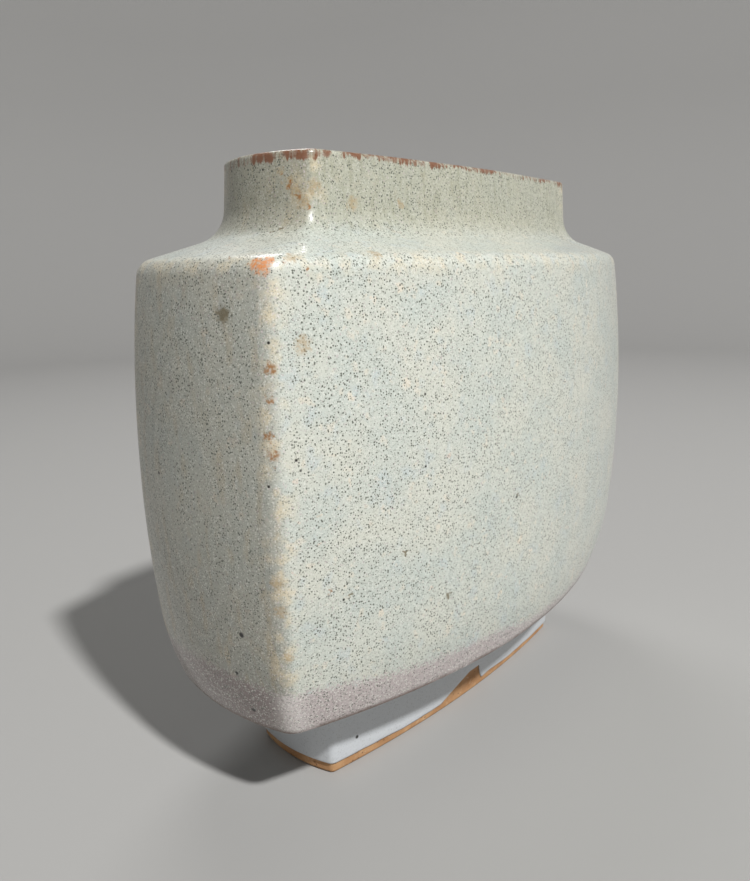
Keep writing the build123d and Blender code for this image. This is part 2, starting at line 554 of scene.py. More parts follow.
class NodeSheet:
    """A material's nodes, added one after another."""

    COLOUR_A, COLOUR_B, COLOUR_OUT = 6, 7, 2
    SHAKE_DETAIL = 4.0

    def __init__(self, name: str) -> None:
        """Starts an empty material.

        Args:
            name: The material's name.
        """
        self.material = bpy.data.materials.new(name)
        self.material.use_nodes = True
        self.tree = self.material.node_tree
        self.shader = self.tree.nodes["Principled BSDF"]
        self.place = self.tree.nodes.new("ShaderNodeTexCoord").outputs["Object"]

    def feed(self, socket: Socket, value: object) -> None:
        """Links a socket to another, or sets it.

        Args:
            socket: The socket that takes the value.
            value: An output socket, a number, a vector or a colour.
        """
        if isinstance(value, Socket):
            self.tree.links.new(value, socket)
        elif isinstance(value, tuple) and socket.type == "RGBA":
            socket.default_value = (*value, 1.0)
        else:
            socket.default_value = value

    def node(self, kind: str, inputs: dict, **settings: object) -> bpy.types.Node:
        """Adds a node.

        Args:
            kind: The node's type name.
            inputs: Values by the input's name or number.
            settings: The node's own options.

        Returns:
            The node.
        """
        made = self.tree.nodes.new(kind)
        for option, value in settings.items():
            setattr(made, option, value)
        for key, value in inputs.items():
            self.feed(made.inputs[key], value)
        return made

    def noise(self, scale: float, detail: float = 2.0, place: object = None) -> Socket:
        """Cloudy values from nought to one.

        Args:
            scale: Clouds for each metre.
            detail: Steps of finer clouds.
            place: Where to read them, if not at the surface's own place.

        Returns:
            The value's socket.
        """
        inputs = {"Vector": place or self.place, "Scale": scale, "Detail": detail}
        return self.node("ShaderNodeTexNoise", inputs).outputs[0]

    def clouds(self, pattern: Clouds, place: object = None) -> Socket:
        """Clouds with soft edges, read at the surface's own place if no other is given."""
        cloud = self.noise(pattern.scale, pattern.detail, place)
        return self.step(cloud, pattern.low, pattern.high, pattern.top)

    def stretched(self, factors: Triple) -> Socket:
        """The surface's place, scaled along each axis."""
        inputs = {0: self.place, 1: factors}
        return self.node("ShaderNodeVectorMath", inputs, operation="MULTIPLY").outputs[0]

    def ragged(self, scale: float, reach: float) -> Socket:
        """The surface's place, shaken by fine clouds.

        Args:
            scale: Clouds for each metre.
            reach: How far the clouds shake it, from end to end.

        Returns:
            The place's socket.
        """
        inputs = {"Vector": self.place, "Scale": scale, "Detail": self.SHAKE_DETAIL}
        cloud = self.node("ShaderNodeTexNoise", inputs)
        inputs = {0: cloud.outputs[1], 1: (reach,) * 3, 2: self.place}
        moved = self.node("ShaderNodeVectorMath", inputs, operation="MULTIPLY_ADD").outputs[0]
        inputs = {0: moved, 1: (reach / 2,) * 3}
        return self.node("ShaderNodeVectorMath", inputs, operation="SUBTRACT").outputs[0]

    def sums(self, operation: str, *values: object) -> Socket:
        """Result of one sum on two or three values."""
        return self.node("ShaderNodeMath", dict(enumerate(values)), operation=operation).outputs[0]

    def times(self, first: object, second: object) -> Socket:
        """Product of two values."""
        return self.sums("MULTIPLY", first, second)

    def step(self, value: object, low: float, high: float, top: float = 1.0) -> Socket:
        """Soft rise from nought at low to top at high.

        Args:
            value: The value to read.
            low: Where the rise starts.
            high: Where it ends, which may be the lower of the two.
            top: What it rises to.

        Returns:
            The result's socket.
        """
        inputs = {"Value": value, "From Min": low, "From Max": high, "To Max": top}
        if low > high:
            inputs = {"Value": value, "From Min": high, "From Max": low, "To Min": top, "To Max": 0.0}
        return self.node("ShaderNodeMapRange", inputs, interpolation_type="SMOOTHSTEP").outputs[0]

    def mix(self, share: object, base: object, over: object) -> Socket:
        """Colour over a base colour, by share."""
        inputs = {0: share, self.COLOUR_A: base, self.COLOUR_B: over}
        return self.node("ShaderNodeMix", inputs, data_type="RGBA").outputs[self.COLOUR_OUT]

    def mask(self, name: str) -> Socket:
        """A value that the piece keeps for each of its points."""
        return self.node("ShaderNodeAttribute", {}, attribute_name=name).outputs["Fac"]

    def dots(self, grains: Grains, place: object = None) -> Socket:
        """Scattered dots of mixed sizes.

        Args:
            grains: Their number, radii, soft edge and cover.
            place: Where to read them, if not at the surface's own place.

        Returns:
            The dots' socket, the cover inside a dot and nought outside.
        """
        cells = self.node("ShaderNodeTexVoronoi", {"Vector": place or self.place, "Scale": grains.scale})
        chance = self.node("ShaderNodeSeparateColor", {0: cells.outputs["Color"]}).outputs[0]
        radius = self.sums("MULTIPLY_ADD", chance, grains.most - grains.least, grains.least)
        inward = self.sums("SUBTRACT", radius, cells.outputs["Distance"])
        return self.step(inward, -grains.soft / 2, grains.soft / 2, grains.cover)

    def bump(self, height: object, distance: float, strength: float) -> None:
        """Gives the shader small relief."""
        inputs = {"Height": height, "Distance": distance, "Strength": strength}
        self.feed(self.shader.inputs["Normal"], self.node("ShaderNodeBump", inputs).outputs[0])


@dataclass(frozen=True)
class Mark:
    """One single mark in the glaze: its kind, its side, its place along that side, its height and radius."""

    kind: MarkKind
    side: Side
    along: float
    height: float
    radius: float


MILLIMETRE = 0.001

# How much of the glaze under it each kind of coloured mark covers
MARK_COVER = {
    MarkKind.OCHRE: 0.6,
    MarkKind.ORANGE: 0.9,
    MarkKind.OLIVE: 0.8,
    MarkKind.CREASE: 0.7,
    MarkKind.RUST: 0.9,
}

# Single marks, measured on the photo in millimetres: place along the side from its middle, height, radius
SPOTS = {
    MarkKind.IRON: {
        Side.FRONT: (
            (-54.5, 131, 0.6), (-55, 109.5, 0.5), (-83.5, 75, 0.5), (-46, 56.5, 0.4),
            (-60, 10, 0.8), (-50.5, 179.5, 0.5), (-12, 90.5, 0.6),
        ),
        Side.LEFT: ((-32, 149, 0.5), (-5.5, 195, 0.4), (-22, 171, 0.5)),
    },
    MarkKind.OLIVE: {
        Side.FRONT: ((-45, 65, 1.1), (-81.5, 76, 0.7), (-63, 84.5, 0.8), (-11.5, 91, 0.9)),
        Side.LEFT: ((-18, 156, 2.2),),
    },
    MarkKind.RUST: {
        Side.FRONT: ((-87.5, 78.5, 0.6), (-88, 167.5, 0.6), (-93.5, 169, 0.6)),
        Side.LEFT: (
            (-32.5, 142.5, 1.5), (-32.5, 134.5, 1.1), (-32.5, 125, 1.3), (-33.5, 120, 1.6),
            (-33.5, 117, 0.5), (-17, 170.5, 0.7),
        ),
    },
    MarkKind.ORANGE: {Side.LEFT: ((-27, 169, 1.6), (-29.5, 168, 2), (-30, 169.5, 1.5))},
    MarkKind.OCHRE: {
        Side.FRONT: (
            (-91.5, 148, 2.2), (-70.5, 189.5, 2), (-57.5, 185.5, 1.8), (-38, 186, 1.4),
            (-91, 170.5, 1.8), (-66, 171, 2),
        ),
        Side.LEFT: ((-32.5, 84, 1.8), (-32.5, 75.5, 1.8), (-33, 61, 1.6)),
    },
    MarkKind.PIT: {
        Side.FRONT: ((-96, 118, 0.6), (-95, 115, 0.6)),
        Side.LEFT: ((-18, 65, 1.1), (-13.5, 51, 0.8), (-16.5, 38.5, 0.9), (-32, 111.5, 0.5)),
    },
}

# Rows of marks on the left side: kind, first place, last place, radius of each
TRAILS = (
    (MarkKind.OCHRE, (-11.5, 194), (-18.5, 185.5), (1.2, 1.5, 1.8, 2)),
    (MarkKind.RUST, (-12, 193.5), (-19.5, 184), (0.5, 0.8, 0.8, 0.6)),
    (MarkKind.CREASE, (-12, 177.5), (-15, 178.5), (0.4, 0.5, 0.5, 0.5, 0.4)),
    (MarkKind.CREASE, (-14.5, 175), (-18, 175), (0.3, 0.4, 0.4, 0.4, 0.4, 0.3)),
)


def all_marks() -> list[Mark]:
    """Every single mark in the glaze, in metres.

    Returns:
        The marks, the spots first and then the rows.
    """
    measured = []
    for kind, sides in SPOTS.items():
        for side, spots in sides.items():
            measured += [(kind, side, spot) for spot in spots]
    for kind, first, last, radii in TRAILS:
        places = np.linspace(first, last, len(radii))
        measured += [(kind, Side.LEFT, (*place, radius)) for place, radius in zip(places, radii)]
    return [Mark(kind, side, *(MILLIMETRE * value for value in spot)) for kind, side, spot in measured]


@dataclass(frozen=True)
class GlazeFinish:
    """Satin pale grey-green glaze with dense fine speckle, warm blotches and iron where it runs thin."""

    name: str
    cool: Colour = (0.530, 0.575, 0.525)
    warm: Colour = (0.610, 0.620, 0.540)
    cream: Colour = (0.780, 0.680, 0.540)
    pink: Colour = (0.740, 0.560, 0.450)
    blue: Colour = (0.500, 0.570, 0.580)
    fleck: Colour = (0.130, 0.140, 0.115)
    dark: Colour = (0.045, 0.048, 0.036)
    salt: Colour = (0.800, 0.805, 0.740)
    iron: Colour = (0.012, 0.010, 0.008)
    olive: Colour = (0.130, 0.095, 0.035)
    rust: Colour = (0.290, 0.130, 0.034)
    orange: Colour = (0.660, 0.250, 0.080)
    ochre: Colour = (0.430, 0.300, 0.150)
    thin: Colour = (0.690, 0.585, 0.400)
    rim: Colour = (0.190, 0.065, 0.026)
    neck: Colour = (0.400, 0.395, 0.300)
    streak: Colour = (0.310, 0.310, 0.220)
    mauve: Colour = (0.490, 0.415, 0.415)
    # Painted shade: darker plum over the low band on the ends
    plum_shade: Colour = (0.200, 0.150, 0.140)
    # Painted highlight: pale colour over the low band on the arrises
    frost_highlight: Colour = (0.700, 0.650, 0.630)
    # Painted shade: dark brown-grey laid over both ends of the vase, most towards the bottom
    end: Colour = (0.260, 0.245, 0.200)
    tan: Colour = (0.420, 0.325, 0.190)
    foot: Colour = (0.530, 0.550, 0.570)
    line: Colour = (0.100, 0.055, 0.034)
    roughness: float = 0.3
    smoother: float = 0.07
    rougher: float = 0.11
    gloss_clouds: tuple[float, float] = (120.0, 3.0)
    glass_index: float = 1.5
    sheen: float = 0.35
    sheen_roughness: float = 0.12
    relief_clouds: tuple[float, float] = (420.0, 3.0)
    relief_flecks: float = -0.35
    relief_pits: float = 2.5
    relief_depth: float = 0.00012
    relief_share: float = 0.55
    blotches: Clouds = Clouds(55.0, 4.0, 0.3, 0.7)
    cool_blotches: Clouds = Clouds(170.0, 3.0, 0.54, 0.72, 0.5)
    cool_stretch: Triple = (1.0, 1.3, 0.9)
    warm_blotches: Clouds = Clouds(290.0, 2.0, 0.6, 0.72, 0.4)
    grain_shake: tuple[float, float] = (500.0, 0.005)
    cream_grains: Grains = Grains(115.0, -0.08, 0.17, 0.09, 0.6)
    pink_grains: Grains = Grains(135.0, -0.08, 0.12, 0.09, 0.5)
    salt_grains: Grains = Grains(1700.0, 0.05, 0.5, 0.3)
    salt_share: float = 0.45
    salt_less_on_neck: float = -0.2
    salt_more_low: float = 0.3
    pepper_grains: Grains = Grains(2000.0, 0.0, 0.5, 0.3, 0.4)
    fleck_grains: Grains = Grains(1250.0, 0.12, 0.38, 0.16)
    fleck_spread: Clouds = Clouds(90.0, 3.0, 0.1, 0.5)
    fleck_less_on_arris: float = -0.6
    single_grains: Grains = Grains(330.0, 0.0, 0.09, 0.04, 0.8)
    far_spots: Grains = Grains(58.0, 0.0, 0.035, 0.01)
    foot_fade: float = 1.4
    neck_cover: float = 0.75
    neck_streaks: Clouds = Clouds(1.0, 4.0, 0.45, 0.7, 0.55)
    neck_stretch: Triple = (620.0, 620.0, 110.0)
    end_shade_cover: float = 0.7
    end_streaks: Clouds = Clouds(1.0, 3.0, 0.5, 0.68, 0.45)
    end_stretch: Triple = (0.0, 230.0, 75.0)
    breaks: Clouds = Clouds(190.0, 4.0, 0.44, 0.66)
    arris_cover: float = 0.7
    edge_cover: float = 0.45
    band_grain: tuple[float, float] = (1500.0, 1.0)
    band_raggedness: float = 2.4
    band_rise: Triple = (0.2, 0.8, 0.9)
    plum_shade_cover: float = 0.8
    frost_highlight_cover: float = 0.9
    mark_shake: tuple[float, float] = (800.0, 0.0044)
    mark_grain: Clouds = Clouds(1100.0, 2.0, 0.2, 0.6)
    mark_core: float = 0.5
    fine_reach: float = 1.15
    blotch_reach: float = 1.5
    hair_detail: float = 4.0
    hair_stretch: Triple = (900.0, 900.0, 150.0)
    hair_reach: float = 2.0
    rim_rise: tuple[float, float] = (0.35, 0.75)
    rim_clouds: tuple[float, float] = (110.0, 3.0)
    rim_hairs: float = 0.6
    rim_patches: Triple = (0.38, 0.62, 0.9)
    rim_start: float = 0.2
    line_breaks: Clouds = Clouds(60.0, 3.0, 0.25, 0.5)
    line_cover: float = 0.85

    def make(self, places: dict[Mark, Vector]) -> bpy.types.Material:
        """Makes the finish for a coat that keeps the masks of its bands.

        Args:
            places: Where each single mark lies on the surface.

        Returns:
            The material.
        """
        sheet = NodeSheet(self.name)
        colour, flecks = self.speckle(sheet, self.bands(sheet, self.ground(sheet)))
        marks = self.marks(sheet, places)
        tints = {
            MarkKind.OCHRE: self.ochre,
            MarkKind.ORANGE: self.orange,
            MarkKind.OLIVE: self.olive,
            MarkKind.CREASE: self.olive,
            MarkKind.RUST: self.rust,
        }
        for kind, tint in tints.items():
            if kind in marks:
                colour = sheet.mix(sheet.times(marks[kind], MARK_COVER[kind]), colour, tint)
        spots = sheet.times(sheet.dots(self.far_spots), sheet.mask("far"))
        colour = sheet.mix(spots, colour, self.iron)
        for kind in (MarkKind.IRON, MarkKind.PIT):
            if kind in marks:
                colour = sheet.mix(marks[kind], colour, self.iron)
        colour = self.iron_edges(sheet, colour)
        sheet.feed(sheet.shader.inputs["Base Color"], colour)
        self.gloss(sheet, marks, flecks)
        return sheet.material

    def speckle(self, sheet: NodeSheet, colour: Socket) -> tuple:
        """Salt and pepper all over: pale grains, fine grey flecks and single dark ones, fewer on the foot.

        Args:
            sheet: The material's nodes.
            colour: The colour so far.

        Returns:
            The colour's socket and the flecks' socket.
        """
        body = sheet.step(sheet.mask("foot"), self.foot_fade, 0.0)
        clear = sheet.sums("MULTIPLY_ADD", sheet.mask("arris"), self.fleck_less_on_arris, 1.0)
        spread = sheet.times(sheet.clouds(self.fleck_spread), clear)
        share = sheet.sums("MULTIPLY_ADD", sheet.mask("neck"), self.salt_less_on_neck, self.salt_share)
        share = sheet.sums("MULTIPLY_ADD", sheet.mask("low"), self.salt_more_low, share)
        salt = sheet.times(sheet.times(sheet.dots(self.salt_grains), body), share)
        colour = sheet.mix(salt, colour, self.salt)
        colour = sheet.mix(sheet.times(sheet.dots(self.pepper_grains), body), colour, self.fleck)
        flecks = sheet.times(sheet.times(sheet.dots(self.fleck_grains), body), spread)
        colour = sheet.mix(flecks, colour, self.fleck)
        single = sheet.times(sheet.dots(self.single_grains), body)
        return sheet.mix(single, colour, self.dark), flecks

    def ground(self, sheet: NodeSheet) -> Socket:
        """Ground of the glaze with soft warm and cool blotches.

        Args:
            sheet: The material's nodes.

        Returns:
            The colour's socket.
        """
        colour = sheet.mix(sheet.clouds(self.blotches), self.cool, self.warm)
        cool = sheet.clouds(self.cool_blotches, sheet.stretched(self.cool_stretch))
        colour = sheet.mix(cool, colour, self.blue)
        ragged = sheet.ragged(*self.grain_shake)
        for grains, tint in ((self.cream_grains, self.cream), (self.pink_grains, self.pink)):
            colour = sheet.mix(sheet.dots(grains, ragged), colour, tint)
        return sheet.mix(sheet.clouds(self.warm_blotches), colour, self.cream)

    def bands(self, sheet: NodeSheet, colour: Socket) -> Socket:
        """Streaky neck, ends with painted shade, mauve low band with a painted highlight on its arrises,
        pale foot, and thin warm glaze on the arrises and edges.

        Args:
            sheet: The material's nodes.
            colour: The ground's colour.

        Returns:
            The colour's socket.
        """
        neck, end = sheet.mask("neck"), sheet.mask("end")
        colour = sheet.mix(sheet.times(neck, self.neck_cover), colour, self.neck)
        streaks = sheet.clouds(self.neck_streaks, sheet.stretched(self.neck_stretch))
        colour = sheet.mix(sheet.times(streaks, neck), colour, self.streak)
        # Painted shade on the ends, from the end colour
        colour = sheet.mix(sheet.times(end, self.end_shade_cover), colour, self.end)
        streaks = sheet.clouds(self.end_streaks, sheet.stretched(self.end_stretch))
        colour = sheet.mix(sheet.times(streaks, end), colour, self.tan)
        breaks = sheet.clouds(self.breaks)
        for name, cover in (("arris", self.arris_cover), ("edge", self.edge_cover)):
            thin = sheet.times(sheet.mask(name), breaks)
            colour = sheet.mix(sheet.times(thin, cover), colour, self.thin)
        grain = sheet.sums("SUBTRACT", sheet.noise(*self.band_grain), 0.5)
        low = sheet.sums("MULTIPLY_ADD", grain, self.band_raggedness, sheet.mask("low"))
        low = sheet.step(low, *self.band_rise)
        colour = sheet.mix(low, colour, self.mauve)
        # Painted shade: darker plum over the low band where it wraps onto the ends
        shade = sheet.times(sheet.times(low, end), self.plum_shade_cover)
        colour = sheet.mix(shade, colour, self.plum_shade)
        # Painted highlight: pale colour over the low band on the arrises
        pale = sheet.times(sheet.times(low, sheet.mask("arris")), self.frost_highlight_cover)
        colour = sheet.mix(pale, colour, self.frost_highlight)
        return sheet.mix(sheet.mask("foot"), colour, self.foot)

    def marks(self, sheet: NodeSheet, places: dict[Mark, Vector]) -> dict[MarkKind, Socket]:
        """Shapes of the single marks, with ragged edges.

        Args:
            sheet: The material's nodes.
            places: Where each mark lies.

        Returns:
            One socket for each kind of mark there is.
        """
        ragged = sheet.ragged(*self.mark_shake)
        found: dict[MarkKind, Socket] = {}
        for mark, place in places.items():
            fine = mark.kind in (MarkKind.IRON, MarkKind.PIT, MarkKind.CREASE)
            inputs = {0: sheet.place if fine else ragged, 1: tuple(place)}
            away = sheet.node("ShaderNodeVectorMath", inputs, operation="DISTANCE").outputs["Value"]
            reach = self.fine_reach if fine else self.blotch_reach
            shape = sheet.step(away, mark.radius * reach, mark.radius * self.mark_core)
            kind = mark.kind
            found[kind] = sheet.sums("MAXIMUM", found[kind], shape) if kind in found else shape
        grain = sheet.clouds(self.mark_grain)
        for kind in (MarkKind.OCHRE, MarkKind.RUST, MarkKind.ORANGE):
            if kind in found:
                found[kind] = sheet.times(found[kind], grain)
        return found

    def iron_edges(self, sheet: NodeSheet, colour: Socket) -> Socket:
        """Red-brown iron on the rim and the thin dark line on the body's lower edge.

        Args:
            sheet: The material's nodes.
            colour: The colour so far.

        Returns:
            The colour's socket.
        """
        hairs = sheet.noise(1.0, self.hair_detail, sheet.stretched(self.hair_stretch))
        hairs = sheet.sums("SUBTRACT", hairs, 0.5)
        band = sheet.mask("rim")
        rim = sheet.step(sheet.sums("MULTIPLY_ADD", hairs, self.hair_reach, band), *self.rim_rise)
        patches = sheet.sums("ADD", sheet.noise(*self.rim_clouds), sheet.times(hairs, self.rim_hairs))
        patches = sheet.step(patches, *self.rim_patches)
        rim = sheet.times(rim, sheet.times(patches, sheet.step(band, 0.0, self.rim_start)))
        colour = sheet.mix(rim, colour, self.rim)
        line = sheet.times(sheet.mask("line"), sheet.clouds(self.line_breaks))
        return sheet.mix(sheet.times(line, self.line_cover), colour, self.line)

    def gloss(self, sheet: NodeSheet, marks: dict, flecks: Socket) -> None:
        """Satin gloss with the glaze's small relief.

        Args:
            sheet: The material's nodes.
            marks: Sockets of the single marks.
            flecks: Socket of the fine speckle.
        """
        rough = sheet.node("ShaderNodeMapRange", {"Value": sheet.noise(*self.gloss_clouds)})
        sheet.feed(rough.inputs["To Min"], self.roughness - self.smoother)
        sheet.feed(rough.inputs["To Max"], self.roughness + self.rougher)
        shader = sheet.shader.inputs
        sheet.feed(shader["Roughness"], rough.outputs[0])
        shader["IOR"].default_value = self.glass_index
        shader["Coat Weight"].default_value = self.sheen
        shader["Coat Roughness"].default_value = self.sheen_roughness
        height = sheet.sums("MULTIPLY_ADD", flecks, self.relief_flecks, sheet.noise(*self.relief_clouds))
        if MarkKind.PIT in marks:
            height = sheet.sums("SUBTRACT", height, sheet.times(marks[MarkKind.PIT], self.relief_pits))
        sheet.bump(height, self.relief_depth, self.relief_share)


@dataclass(frozen=True)
class ClayFinish:
    """Bare fired stoneware, sandy tan with dark grog."""

    name: str = "bare_stoneware"
    light: Colour = (0.470, 0.270, 0.130)
    dark: Colour = (0.360, 0.185, 0.080)
    grog: Colour = (0.110, 0.060, 0.032)
    pale: Colour = (0.560, 0.400, 0.250)
    firing: Clouds = Clouds(130.0, 5.0, 0.3, 0.7)
    sand: Clouds = Clouds(650.0, 2.0, 0.55, 0.75, 0.6)
    grog_grains: Grains = Grains(700.0, 0.03, 0.24, 0.1)
    grog_cover: float = 0.75
    dryness: Clouds = Clouds(300.0, 2.0, 1.6, 0.1)
    tooth_clouds: tuple[float, float] = (1400.0, 4.0)
    tooth_depth: float = 0.00015
    tooth_share: float = 0.7

    def make(self) -> bpy.types.Material:
        """Makes the finish.

        Returns:
            The material.
        """
        sheet = NodeSheet(self.name)
        colour = sheet.mix(sheet.clouds(self.firing), self.light, self.dark)
        colour = sheet.mix(sheet.clouds(self.sand), colour, self.pale)
        grog = sheet.dots(self.grog_grains)
        colour = sheet.mix(sheet.times(grog, self.grog_cover), colour, self.grog)
        sheet.feed(sheet.shader.inputs["Base Color"], colour)
        sheet.feed(sheet.shader.inputs["Roughness"], sheet.clouds(self.dryness))
        tooth = sheet.sums("ADD", sheet.noise(*self.tooth_clouds), grog)
        sheet.bump(tooth, self.tooth_depth, self.tooth_share)
        return sheet.material


@dataclass(frozen=True)
class FloorFinish:
    """Plain pale studio floor, a little darker towards its edge."""

    name: str = "studio_floor"
    near: Colour = (0.360, 0.355, 0.344)
    far: Colour = (0.350, 0.345, 0.336)
    near_radius: float = 0.25
    far_radius: float = 1.2
    clouds: tuple[float, float] = (5.0, 3.0)
    cloud_reach: float = 0.1
    roughness: float = 0.75

    def make(self) -> bpy.types.Material:
        """Makes the finish.

        Returns:
            The material.
        """
        sheet = NodeSheet(self.name)
        away = sheet.node("ShaderNodeVectorMath", {0: sheet.place}, operation="LENGTH").outputs["Value"]
        away = sheet.sums("ADD", away, sheet.times(sheet.noise(*self.clouds), self.cloud_reach))
        colour = sheet.mix(sheet.step(away, self.near_radius, self.far_radius), self.near, self.far)
        sheet.feed(sheet.shader.inputs["Base Color"], colour)
        sheet.shader.inputs["Roughness"].default_value = self.roughness
        return sheet.material


@dataclass
class OuterGlaze:
    """The coat of glaze on the outside, from the bare edge of the foot over the rim to the mouth."""

    sizes: VaseSizes
    finish: GlazeFinish
    coat: float = 0.00075
    hand_depth: float = 0.0004
    bare_edge: float = 0.0031
    bare_corner: float = 0.0008
    corner_reach: float = 0.035
    wave_height: float = 0.0005
    wave_length: float = 0.017
    ripple_height: float = 0.0002
    ripple_length: float = 0.006
    patch_left: float = -0.0175
    patch_full: float = 0.0010
    patch_right: float = 0.0088
    patch_fall: float = 0.0006
    patch_height: float = 0.0062
    low_edge_round: float = 0.0007
    rim_inset: float = 0.0065
    rim_sink: float = 0.00025
    arris_width: float = 0.0045
    edge_width: float = 0.0045
    line_width: float = 0.0009
    rim_band: float = 0.0016
    rim_end_band: float = 0.0014
    rim_wave: float = 0.015
    neck_fade: float = 0.004
    band_height: float = 0.0385
    band_slope: float = -0.10
    band_least: float = 0.004
    band_fade: float = 0.0035
    band_wave: float = 0.002
    band_wave_length: float = 0.03
    # Painted shade on the ends: which normals count as an end, and how it deepens towards the bottom
    end_turn: tuple[float, float] = (0.4, 0.85)
    end_shade_fall: tuple[float, float] = (0.12, 0.045)
    end_shade_share: float = 0.65
    slow_length: float = 0.045
    slow_gain: float = 1.4
    slow_share: float = 0.62
    quick_length: float = 0.013
    quick_share: float = 0.22
    pit_depth: float = 0.0002
    pit_reach: float = 1.6
    relief_limit: float = 1.2

    STEPS = dict(zip(UPWARDS, (22, 84, 9, 16, 10, 12, 8)))
    BACK_STEPS = dict(zip(UPWARDS, (4, 8, 3, 2, 4, 2, 3)))
    FOOT_EDGE = ((0.0, 0.00045), (0.006, 0.0001))
    FOOT_SHARES = (0.03, 0.1, 0.2, 0.3, 0.4, 0.5, 0.6, 0.7, 0.8, 0.9, 0.97, 1.0)
    UNDERSIDE_SHARES = (0.04, 0.25, 0.5, 0.75, 0.93)
    EDGE_SHARES = (0.0, 0.25, 0.5, 0.75, 1.0)
    RIM_SHARES = (0.35, 0.7, 1.0)
    CLAY_SHARES = (1.0, 0.5, 0.0)
    UNDER_BODY = (Stretch.FOOT, Stretch.UNDERSIDE)

    def bare_height(self, ring: np.ndarray) -> np.ndarray:
        """Height of the glaze's wavy lower edge round the foot.

        Args:
            ring: Points of the foot's ring.

        Returns:
            A height for each point.
        """
        corner = ring[np.argmin(ring[:, 0] + ring[:, 1])]
        away = np.linalg.norm(ring - corner, axis=1)
        near = np.exp(-((away / self.corner_reach) ** 2))
        rise = np.clip((ring[:, 0] - self.patch_left) / (self.patch_full - self.patch_left), 0, 1)
        fall = np.clip((self.patch_right - ring[:, 0]) / self.patch_fall, 0, 1)
        patch = np.where(ring[:, 1] < 0, np.minimum(rise, fall), 0.0)
        waves = self.wave_height * wander(ring, self.wave_length)
        waves += self.ripple_height * wander(ring, self.ripple_length)
        return self.bare_edge + self.bare_corner * near + self.patch_height * patch + waves

    def outside(self) -> tuple[np.ndarray, list[Stretch]]:
        """Rings of the surface that shows, from the foot up to the mouth.

        Returns:
            The rings' points, and the stretch that each ring is on.
        """
        form, sizes = VaseForm(self.sizes), self.sizes
        foot = form.foot_ring(0.0, 0.0)
        lower = self.bare_height(foot)
        rings, stretches = [], []
        for share, inset in (*self.FOOT_EDGE, *((share, 0.0) for share in self.FOOT_SHARES)):
            ring = form.foot_ring(inset, 0.0)
            ring[:, 2] = lower + share * (sizes.foot_height - lower)
            rings.append(ring)
            stretches.append(Stretch.FOOT)
        rows = Profile(sizes, 0.0, self.STEPS).rows(sizes.foot_height)
        low, after = rows[0], rows[1]
        inner = np.array([low.stand_out - self.low_edge_round, low.height])
        outer = np.array([low.stand_out, low.height])
        climb = self.low_edge_round / (after.height - low.height)
        up = outer + climb * np.array([after.stand_out - low.stand_out, after.height - low.height])
        foot_top, inner_ring = rings[-1], form.body_ring(Row(Stretch.LOW_EDGE, *inner, 1.0), 0.0)
        for share in self.UNDERSIDE_SHARES:
            rings.append(foot_top * (1 - share) + inner_ring * share)
            stretches.append(Stretch.UNDERSIDE)
        for t in self.EDGE_SHARES:
            bend = inner * (1 - t) ** 2 + 2 * outer * t * (1 - t) + up * t**2
            rings.append(form.body_ring(Row(Stretch.LOW_EDGE, *bend, 1.0), 0.0))
            stretches.append(Stretch.LOW_EDGE)
        for row in rows[1:]:
            rings.append(form.body_ring(row, 0.0))
            stretches.append(row.stretch)
        for share in self.RIM_SHARES:
            inset = -sizes.lip_radius - share * (self.rim_inset - sizes.lip_radius)
            sink = self.rim_sink * share**2
            rings.append(form.body_ring(Row(Stretch.RIM, inset, sizes.height - sink, 0.0), 0.0))
            stretches.append(Stretch.RIM)
        return np.array(rings), stretches

    def on_clay(self, lower: np.ndarray) -> list[np.ndarray]:
        """Rings of the side that lies on the clay, from the mouth down to the foot.

        Args:
            lower: Height of the glaze's lower edge round the foot.

        Returns:
            The rings.
        """
        form, sizes, coat = VaseForm(self.sizes), self.sizes, self.coat
        rows = Profile(sizes, coat, self.BACK_STEPS).rows(sizes.foot_height + coat)
        rim = Row(Stretch.BACK, -self.rim_inset, sizes.height - coat, 0.0)
        rings = [form.body_ring(row, coat) for row in [rim, *reversed(rows)]]
        for share in self.CLAY_SHARES:
            ring = form.foot_ring(coat, 0.0)
            ring[:, 2] = lower + share * (sizes.foot_height + coat - lower)
            rings.append(ring)
        return rings

    def hand_relief(self, grid: np.ndarray, places: dict[Mark, Vector]) -> np.ndarray:
        """How far the hand-built surface lies in from the true form.

        Args:
            grid: Points of the surface that shows.
            places: Where each single mark lies.

        Returns:
            A depth for each point.
        """
        slow = (1 + np.clip(self.slow_gain * wander(grid, self.slow_length), -1, 1)) / 2
        quick = (1 + wander(grid, self.quick_length)) / 2
        depth = self.hand_depth * (self.slow_share * slow + self.quick_share * quick)
        for mark, place in places.items():
            if mark.kind is MarkKind.PIT:
                away = np.linalg.norm(grid - np.array(place), axis=2)
                depth += self.pit_depth * np.exp(-((away / (self.pit_reach * mark.radius)) ** 2))
        return np.minimum(depth, self.relief_limit * self.hand_depth)

    def mark_places(self, grid: np.ndarray) -> dict[Mark, Vector]:
        """Finds where each single mark lies on the surface.

        Args:
            grid: Points of the surface that shows.

        Returns:
            The nearest point to each mark's place on its side.
        """
        points = grid.reshape(-1, 3)
        places = {}
        for mark in all_marks():
            along, out = (0, 1) if mark.side is Side.FRONT else (1, 0)
            away = np.hypot(points[:, along] - mark.along, points[:, 2] - mark.height)
            away = np.where(points[:, out] < 0, away, np.inf)
            place = points[np.argmin(away)].copy()
            place[along], place[2] = mark.along, mark.height
            places[mark] = Vector(place)
        return places

    def masks(self, grid: np.ndarray, stretches: list[Stretch]) -> dict[str, np.ndarray]:
        """Shares of the edges and bands that the finish shows.

        Args:
            grid: Points of the surface that shows.
            stretches: The stretch that each ring is on.

        Returns:
            For each edge and band a value at each point.
        """
        on_body = on_stretches(stretches, *(kind for kind in Stretch if kind not in self.UNDER_BODY))
        return self.edge_masks(grid, stretches, on_body) | self.band_masks(grid, on_body)

